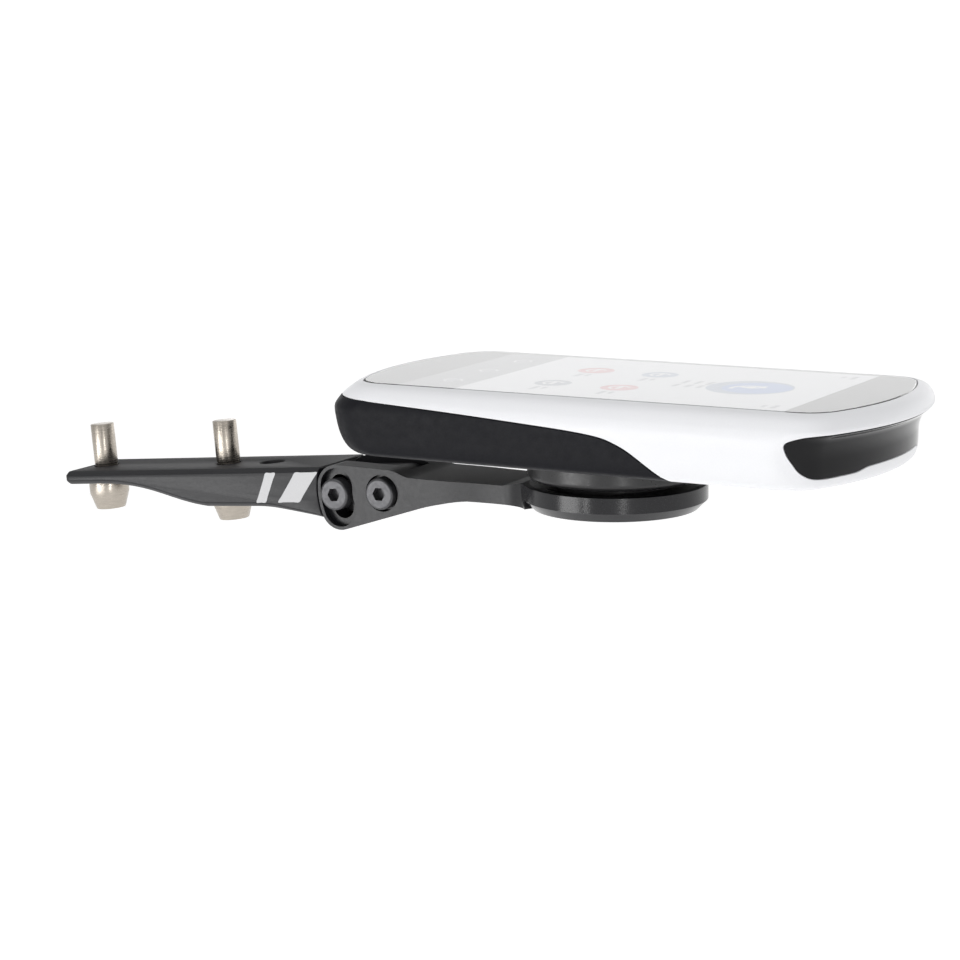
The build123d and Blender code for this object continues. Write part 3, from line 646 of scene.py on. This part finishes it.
# ---- where the pieces of the case meet ---------------------------------------
STEP, LEAST_STEP = 0.7, 0.3      # spacing of points along a border, and the least one before a corner
SKIN_STEPS, FILL_STEPS, PLATE_STEPS = (0.75, 0.5), (0.7, 0.5), (1.6, 1.6)
SEAM = 0.07                      # half the gap at a seam, mm
EDGE = 0.16                      # rounding of the moulded edges
WALL = 1.0
FLAT_V = -1.0                    # where the underside plate begins
PARTING = smooth_table((-60, -51, -30, -5, 6.7, 11.2, 15.2, 20.7, 23.6, 24.6, 25.0),
                       [float(v_of(z)) for z in (11.2, 11.2, 10.3, 8.8, 7.9, 7.25, 5.8, 2.3, 0.5)]
                       + [-0.1, FLAT_V])
PARTING_X = np.concatenate([np.arange(-38, 6, 0.7), np.arange(6, 23, 0.35), np.linspace(23, 25.0, 14)])


def level_row(start, end, v):
    """Evenly spaced points between two corners at one level."""
    sigma = np.arange(start + STEP, end - LEAST_STEP, STEP)
    return np.column_stack([sigma, np.full(len(sigma), v)])


def parting_line(shift, low):
    """Seam between the two shells as (round, up) points from the left side, round the rear, to the
    right side. shift moves it up; it ends where it reaches low."""
    xs = PARTING_X
    v = PARTING(xs)
    slope = np.gradient(v, xs)
    tilt = np.hypot(1, slope)
    xs, v = xs - slope / tilt * shift, v + shift / tilt
    keep = v > low
    end = np.interp(-low, -v, xs)
    xs, v = np.append(xs[keep], end), np.append(v[keep], low)
    right = np.column_stack([sigma_at(xs, v, False), v])
    left = np.column_stack([sigma_at(xs, v, True), v])[::-1]
    rear = level_row(left[-1, 0], right[0, 0], v_of(WIDEST_Z))
    rear[:, 1] = PARTING(surface_point(rear)[:, 0]) + shift
    return np.vstack([left, rear, right])


def window_loop(inset):
    """Outline of the nose window as (round, up) points, counter-clockwise."""
    ring = RING_FINE[(PART_FINE > 3) & (PART_FINE < 4.5)]
    sigma = SIGMA_FINE[(PART_FINE > 3) & (PART_FINE < 4.5)]

    def right(y, z):
        return float(np.interp(-y, ring[:, 1], sigma)), float(v_of(z))

    lower = [right(28.55, 7.1), right(28.05, 5.2), right(27.4, 3.5), right(26.1, 2.4), right(23.6, 2.05),
             right(19.5, 2.12), right(15.6, 2.25), right(13.6, 2.6), right(11.6, 2.85), right(6.0, 2.9)]
    upper = [right(6.0, 10.1), right(14.0, 10.1), right(21.0, 10.1), right(25.5, 10.05), right(27.2, 9.95),
             right(28.25, 9.65), right(28.75, 8.7)]

    def mirror(points):
        return [(2 * NOSE - s, v) for s, v in points]

    loop = spline_loop(lower + mirror(lower)[::-1] + mirror(upper)[::-1] + upper, 9)
    return shrink(loop, inset)


def shrink(loop, inset):
    """Moves a counter-clockwise loop inwards."""
    along = np.roll(loop, -1, axis=0) - np.roll(loop, 1, axis=0)
    along /= np.linalg.norm(along, axis=1, keepdims=True)
    return loop + np.stack([-along[:, 1], along[:, 0]], axis=1) * inset


KEY_Y0, KEY_Y1, KEY_Z0, KEY_Z1, KEY_ROUND = 4.5, 20.5, 3.6, 9.4, 2.3
POWER_X, POWER_Z, POWER_R = -18.0, 5.6, 3.5
KEY_ROOM = 0.2                   # how far an opening stands back from its key's nominal outline
KEY_INSET, POWER_INSET = 0.55, 0.3
KEY_PROUD, KEY_EDGE, KEY_DEPTH = 0.33, 0.35, 1.6


def key_loop(side, inset):
    """Outline of a rear key; side is -1 for the rider's right."""
    a, b = sorted((-side * KEY_Y0, -side * KEY_Y1))
    return shrink(rounded_box(a, b, float(v_of(KEY_Z0)), float(v_of(KEY_Z1)), KEY_ROUND, gap=0.6),
                  inset)


def power_centre():
    """Middle of the power key as (round, up)."""
    v = np.array([float(v_of(POWER_Z))])
    return float(sigma_at(np.array([POWER_X]), v, True)[0]), float(v[0])


def upper_shell():
    """Light shell: everything above the seam, with the nose window's opening."""
    build = Build()
    low = FLAT_V + SEAM + EDGE
    high = SECTION_V[-1] - EDGE - 0.05
    seam = parting_line(SEAM + EDGE, low)
    bottom = np.vstack([seam, level_row(seam[-1, 0], seam[0, 0] + ROUND, low)])
    # cut at the left end of the seam so the strip runs once round the case
    left = seam[0, 0]
    right = left + ROUND
    around = np.arange(left, right, STEP)
    top = np.column_stack([around, np.full(len(around), high)])
    climb = np.arange(low + STEP, high - LEAST_STEP, STEP)
    right_cut = np.column_stack([np.full(len(climb), right), climb])
    left_cut = np.column_stack([np.full(len(climb), left), climb])
    outer = np.vstack([bottom, [(right, low)], right_cut, [(right, high)], top[::-1], left_cut[::-1]])
    hole = window_loop(-SEAM - EDGE)
    add_skin(build, case_surface(), outer, [hole], SKIN_STEPS, EDGE, WALL,
             [(bottom, True, 1), (top, True, -1), (hole, True, -1)])
    points, normals, faces = build.welded()
    return add_piece("upper_case_shell", points, faces, [SHELL_WHITE], "head_unit", normals,
                     replaces=("upper_shell",))


SCREW_HOLES = ((-39.6, 22.6), (6.0, 24.0), (45.4, 21.6))     # x and y, on both sides
SCREW_HOLE_R = 1.6
PAD_XS, PAD_Y, PAD_R = (-3.0, 0.5, 4.0, 7.5), 21.5, 1.05
VENT_X, VENT_Y, VENT_R = 24.0, -18.0, 0.8
PORT_X0, PORT_X1, PORT_Y0, PORT_Y1, PORT_ROUND = -42.8, -30.2, 9.3, 20.7, 0.6


def plate_openings():
    """Openings in the underside for screws, contact pads, vent and port cover."""
    loops = [circle(x, side * y, SCREW_HOLE_R) for x, y in SCREW_HOLES for side in (-1, 1)]
    loops += [circle(x, PAD_Y, PAD_R, 24) for x in PAD_XS]
    loops.append(circle(VENT_X, VENT_Y, VENT_R, 24))
    loops.append(rounded_box(PORT_X0, PORT_X1, PORT_Y0, PORT_Y1, PORT_ROUND))
    return loops


def lower_case():
    """Dark case: its sides and rear bulge with the key openings, and the underside."""
    build = Build()
    seam = parting_line(-SEAM - EDGE, FLAT_V)
    left, right = seam[0, 0], seam[-1, 0]
    base = level_row(left, right, FLAT_V)
    outer = np.vstack([seam, base[::-1]])[::-1]
    holes = [key_loop(side, -KEY_ROOM) for side in (-1, 1)]
    holes.append(circle(*power_centre(), POWER_R + KEY_ROOM))
    add_skin(build, case_surface(), outer, holes, SKIN_STEPS, EDGE, WALL,
             [(seam, False, -1)] + [(hole, True, -1) for hole in holes])
    front = level_row(right, left + ROUND, FLAT_V)
    plan = surface_point(np.vstack([[seam[0]], base, [seam[-1]], front]))[:, :2]
    front_plan = surface_point(np.vstack([[seam[-1]], front, [(left + ROUND, FLAT_V)]]))[:, :2]
    openings = plate_openings()
    add_skin(build, flat_surface(0.0, False), plan, openings, PLATE_STEPS, EDGE, WALL,
             [(front_plan, False, 1)] + [(hole, True, 1) for hole in openings])
    points, normals, faces = build.welded()
    return add_piece("lower_case_shell", points, faces, [CASE_BLACK], "head_unit", normals,
                     replaces=("lower_case",))


def filled_piece(name, loop, proud, edge, depth, material, body, replaces):
    """Rounded slab that fills an opening in the case."""
    build = Build()
    add_skin(build, case_surface(proud), loop, [], FILL_STEPS, edge, depth, [(loop, True, 1)])
    points, normals, faces = build.welded()
    return add_piece(name, points, faces, [material], body, normals, replaces=replaces)


def fill_openings():
    """The nose window and the three key caps."""
    filled_piece("nose_window", window_loop(EDGE), -0.02, EDGE, 0.9, WINDOW_GLOSS, "head_unit",
                 ("front_window",))
    for side, key, node in ((-1, "lap_key", "lap_button"), (1, "start_key", "start_button")):
        filled_piece(key + "_cap", key_loop(side, KEY_INSET), KEY_PROUD, KEY_EDGE, KEY_DEPTH, KEY_RUBBER,
                     key, (node,))
    filled_piece("power_key_cap", circle(*power_centre(), POWER_R - POWER_INSET), KEY_PROUD, 0.3, 1.5,
                 KEY_RUBBER, "power_key", ("power_button",))


GLASS_UNDER = 12.44
GLASS_GAP, GLASS_EDGE, GLASS_EDGE_STEPS = 0.06, 0.42, 6
GLASS_CORNER = 7.0


def cover_glass():
    """Clear plate over the display with a polished edge."""
    sigma = np.arange(0, ROUND, STEP)
    part = np.interp(sigma, SIGMA_FINE, PART_FINE)
    side_in, rear_in, front_in = SECTIONS[-1, 1:]
    same = np.zeros_like(part)

    def ring(inset, z):
        x, y = plan_point(part, BODY_REAR + rear_in + inset + same, BODY_FRONT - front_in - inset + same,
                          BODY_HALF - (side_in + inset) + same, GLASS_CORNER - 0.5 * inset + same)
        return np.column_stack([x, y, same + z])

    away = ring(0.0, 0) - ring(1.0, 0)
    away /= np.linalg.norm(away, axis=1, keepdims=True)
    up = np.tile((0.0, 0.0, 1.0), (len(away), 1))
    top = GLASS_TOP - 0.01
    rows, turns = [], []
    for k in range(GLASS_EDGE_STEPS + 1):
        a = math.pi / 2 * k / GLASS_EDGE_STEPS
        rows.append(ring(GLASS_GAP + GLASS_EDGE * (1 - math.sin(a)), top - GLASS_EDGE * (1 - math.cos(a))))
        turns.append(up * math.cos(a) + away * math.sin(a))
    rows += [ring(GLASS_GAP, GLASS_UNDER + 0.1), ring(GLASS_GAP + 0.1, GLASS_UNDER)]
    turns += [away, -up]
    build = Build()
    build.add(np.vstack(rows), np.vstack(turns), ladder(len(rows), len(sigma), True))
    for row, faces_up in ((rows[0], True), (rows[-1], False)):
        flat, triangles = triangulate(row[:, :2], [], 4.0, 4.0)
        points, normals = flat_surface(row[0, 2], faces_up)(flat)
        build.add(points, normals, triangles if faces_up else triangles[:, ::-1])
    points, normals, faces = build.welded()
    return add_piece("cover_glass_plate", points, faces, [GLASS], "head_unit", normals,
                     replaces=("cover_glass",))


# ---- the page on the display -------------------------------------------------
PAGE_Z, PAGE_LAYER = 12.5, 0.006
PAGE_REAR, PAGE_FRONT, PAGE_HALF = -34.48, 44.48, 23.28
BAR_FRONT, BAR_INSET = -22.2, 0.02
ICONS = (("red", -8.3, 8.4), ("slate", -8.4, -9.4), ("red", 5.7, -9.7), ("steel", 5.6, 8.2))
PAGE_LOOKS = {
    "ground": lit("page_ground", (0.93, 0.94, 0.97), 0.34),
    "bar": lit("page_bar", (0.42, 0.43, 0.46), 0.24),
    "red": lit("page_red", (0.92, 0.22, 0.24), 0.26),
    "slate": lit("page_slate", (0.30, 0.35, 0.44), 0.26),
    "blue": lit("page_blue", (0.16, 0.34, 0.80), 0.30),
    "steel": lit("page_steel", (0.32, 0.42, 0.60), 0.28),
    "glyph": lit("page_glyph", (0.97, 0.97, 0.98), 0.36),
    "ink": lit("page_ink", (0.40, 0.41, 0.46), 0.30),
    "mask": INK_BLACK,
}


def disc(cx, cy, radius, count=36):
    """Filled circle."""
    return [tuple(p) for p in circle(cx, cy, radius, count)]


def strip(x0, x1, y0, y1):
    """Small rounded bar."""
    radius = min(0.5, 0.3 * min(x1 - x0, y1 - y0))
    return [tuple(p) for p in rounded_box(x0, x1, y0, y1, radius, arc=3, gap=9)]


def wedge(cx, cy, radius, start, end, width, steps=14):
    """Arc band."""
    turn = [math.radians(start + (end - start) * k / steps) for k in range(steps + 1)]
    outer = [(cx + radius * math.cos(a), cy + radius * math.sin(a)) for a in turn]
    return outer + [(cx + (radius - width) * math.cos(a), cy + (radius - width) * math.sin(a))
                    for a in reversed(turn)]


def box(x0, x1, half):
    """Plain rectangle across the page."""
    return [(x0, -half), (x1, -half), (x1, half), (x0, half)]


def page_shapes():
    """Generic icons, rings and bars, bottom layer first: (look, layer, outline)."""
    shapes = [("ground", 0, box(PAGE_REAR, PAGE_FRONT, PAGE_HALF)),
              ("bar", 1, box(PAGE_REAR + BAR_INSET, BAR_FRONT, PAGE_HALF - BAR_INSET)),
              ("mask", 0, disc(50.0, 0.0, 1.75, 32))]
    for look, x, y in ICONS:
        shapes += [(look, 1, disc(x, y, 3.6)),
                   ("glyph", 2, wedge(x, y, 2.1, 20, 250, 0.55)),
                   ("glyph", 2, strip(x - 0.4, x + 0.4, y - 1.5, y + 1.5)),
                   ("ink", 1, strip(x - 0.9, x + 0.1, y - 8.6, y - 4.9)),
                   ("ink", 1, strip(x + 0.9, x + 1.7, y - 7.4, y - 4.9))]
    shapes += [("steel", 1, disc(28.0, 0.0, 8.3, 60)),
               ("blue", 2, disc(29.4, 0.0, 6.6, 60)),
               ("glyph", 3, wedge(28.0, -1.2, 3.6, 30, 200, 0.8)),
               ("glyph", 3, wedge(28.0, 1.8, 2.6, 190, 380, 0.8)),
               ("glyph", 3, disc(28.0, 0.2, 1.1, 24))]
    for x in (14.0, 16.6, 19.0):
        shapes += [("ink", 1, strip(x - 0.5, x + 0.5, -4.2, -1.0)),
                   ("ink", 1, strip(x - 0.5, x + 0.5, 0.2, 3.8))]
    for y in (-19.0, 19.0):
        shapes += [("ink", 1, strip(40.6, 41.6, y - 1.8, y + 1.8)),
                   ("ink", 1, strip(38.6, 39.3, y - 1.2, y + 1.2))]
    for y in (-14.0, 0.0, 14.0):
        shapes += [("ink", 2, strip(-28.2, -27.0, y - 2.6, y + 2.6)),
                   ("glyph", 2, wedge(-27.6, y, 1.9, 0, 300, 0.4))]
    return shapes


def display_page():
    """Everything the display shows, as thin layers on one piece."""
    names = list(PAGE_LOOKS)
    points, faces, slots = [], [], []
    for look, layer, outline in page_shapes():
        start = len(points)
        points += [(x, y, PAGE_Z + PAGE_LAYER * layer) for x, y in outline]
        faces.append(range(start, start + len(outline)))
        slots.append(names.index(look))
    return add_piece("display_page", points, faces, [PAGE_LOOKS[n] for n in names], "head_unit",
                     replaces=("touch_sensor",), face_slots=slots)


# ---- the metal parts ---------------------------------------------------------
BEVEL_ANGLE, BEVEL_SEGMENTS = 32.0, 3
BEVELS = (("base_plate", 0.22), ("stem_screws", 0.12), ("usb_cover", 0.18))
PRINT_LOW, PRINT_HIGH, PRINT_Y = -7.0, -0.95, -9.012
# name, low corner, high corner, width at the bottom, width at the top
PRINT_BARS = (("print_bar_narrow", 28.3, 31.2, 2.3, 2.4), ("print_bar_wide", 33.6, 38.4, 5.2, 5.4))


def soften(node, width):
    """Breaks the edges of a CAD node with a fine bevel."""
    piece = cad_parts[node]
    weld = piece.modifiers.new("weld", "WELD")
    weld.merge_threshold = 1e-6
    flat = piece.modifiers.new("flat", "DECIMATE")
    flat.decimate_type, flat.angle_limit = "DISSOLVE", math.radians(0.5)
    bevel = piece.modifiers.new("bevel", "BEVEL")
    bevel.limit_method, bevel.angle_limit = "ANGLE", math.radians(BEVEL_ANGLE)
    bevel.width, bevel.segments = width * MM, BEVEL_SEGMENTS
    bevel.use_clamp_overlap = False
    bevel.harden_normals = True
    for polygon in piece.data.polygons:
        polygon.use_smooth = True


def printed_bar(name, low_x, high_x, width, wide_top):
    """Slanted bar printed on the right side of the base plate, with a rounded outline."""
    corners = [(low_x, PRINT_LOW), (low_x + width, PRINT_LOW), (high_x + wide_top, PRINT_HIGH),
               (high_x, PRINT_HIGH)]
    outline = spline_loop(densify(corners, 1.6), 3)
    points = [(x, PRINT_Y, z) for x, z in outline]
    return add_piece(name, points, [range(len(points))], [PRINT_GREY], "base", level=False)


def finish_metal():
    """Edge breaks on the machined parts and the print on the base plate."""
    for node, width in BEVELS:
        soften(node, width)
    for bar in PRINT_BARS:
        printed_bar(*bar)


# ---- the studio, in metres ---------------------------------------------------
WORLD_STRENGTH = 0.62
FLOOR_Z, FLOOR_REACH = -0.25, 8
WALL_Y, WALL_LEFT, WALL_RIGHT, WALL_TOP = 5, -8, 6, 1.8
# name, place, target, size, power
LAMPS = (
    ("side_card", (-0.53, -0.98, -0.14), (0.02, 0, -0.005), (0.55, 0.22), 2.5),
    ("strip_left", (-0.12, -1.15, -0.13), (0.1, 0, -0.01), (0.06, 0.22), 0.6),
    ("strip_right", (0.75, -0.92, -0.13), (0.1, 0, -0.01), (0.10, 0.22), 1.0),
    ("top_soft", (0.1, -0.3, 1.2), (0.08, 0, 0), (1.4, 1.0), 4.3),
)


def area_light(name, place, target, size, power):
    """Soft rectangular lamp aimed at a point."""
    data = bpy.data.lights.new(name, "AREA")
    data.shape = "RECTANGLE"
    data.size, data.size_y = size
    data.energy = power
    lamp = bpy.data.objects.new(name, data)
    place, target = Vector(place), Vector(target)
    aim = (target - place).to_track_quat("-Z", "Y")
    lamp.matrix_world = Matrix.Translation(place) @ aim.to_matrix().to_4x4()
    bpy.context.scene.collection.objects.link(lamp)


def stage_plane(name, corners, material):
    """Flat part of the studio, not of the object."""
    mesh = bpy.data.meshes.new(name)
    mesh.from_pydata(corners, [], [(0, 1, 2, 3)])
    mesh.materials.append(material)
    plane = bpy.data.objects.new(name, mesh)
    bpy.context.scene.collection.objects.link(plane)


def pale(name, base, rough, strength):
    """Pale matt studio surface with a little light of its own."""
    material = shader(name, (base, base, base), rough, grain=0.01, grain_size=60)
    glow(material, (1, 1, 1), strength)
    return material


def make_studio():
    """White room: pale floor and wall beyond the object, lamps on the camera's side and above."""
    scene = bpy.context.scene
    scene.view_settings.view_transform = "Standard"
    world = bpy.data.worlds.new("studio")
    scene.world = world
    world.use_nodes = True
    background = world.node_tree.nodes["Background"]
    background.inputs["Color"].default_value = (1.0, 1.0, 1.0, 1)
    background.inputs["Strength"].default_value = WORLD_STRENGTH
    r, z = FLOOR_REACH, FLOOR_Z
    stage_plane("floor", [(-r, -r, z), (r, -r, z), (r, r, z), (-r, r, z)],
                pale("pale_floor", 0.93, 0.8, 0.36))
    stage_plane("backdrop", [(WALL_LEFT, WALL_Y, z), (WALL_RIGHT, WALL_Y, z), (WALL_RIGHT, WALL_Y, WALL_TOP),
                             (WALL_LEFT, WALL_Y, WALL_TOP)], pale("pale_backdrop", 0.9, 0.9, 0.75))
    for lamp in LAMPS:
        area_light(*lamp)


make_camera()
make_studio()
dress_nodes()
upper_shell()
lower_case()
fill_openings()
cover_glass()
display_page()
finish_metal()
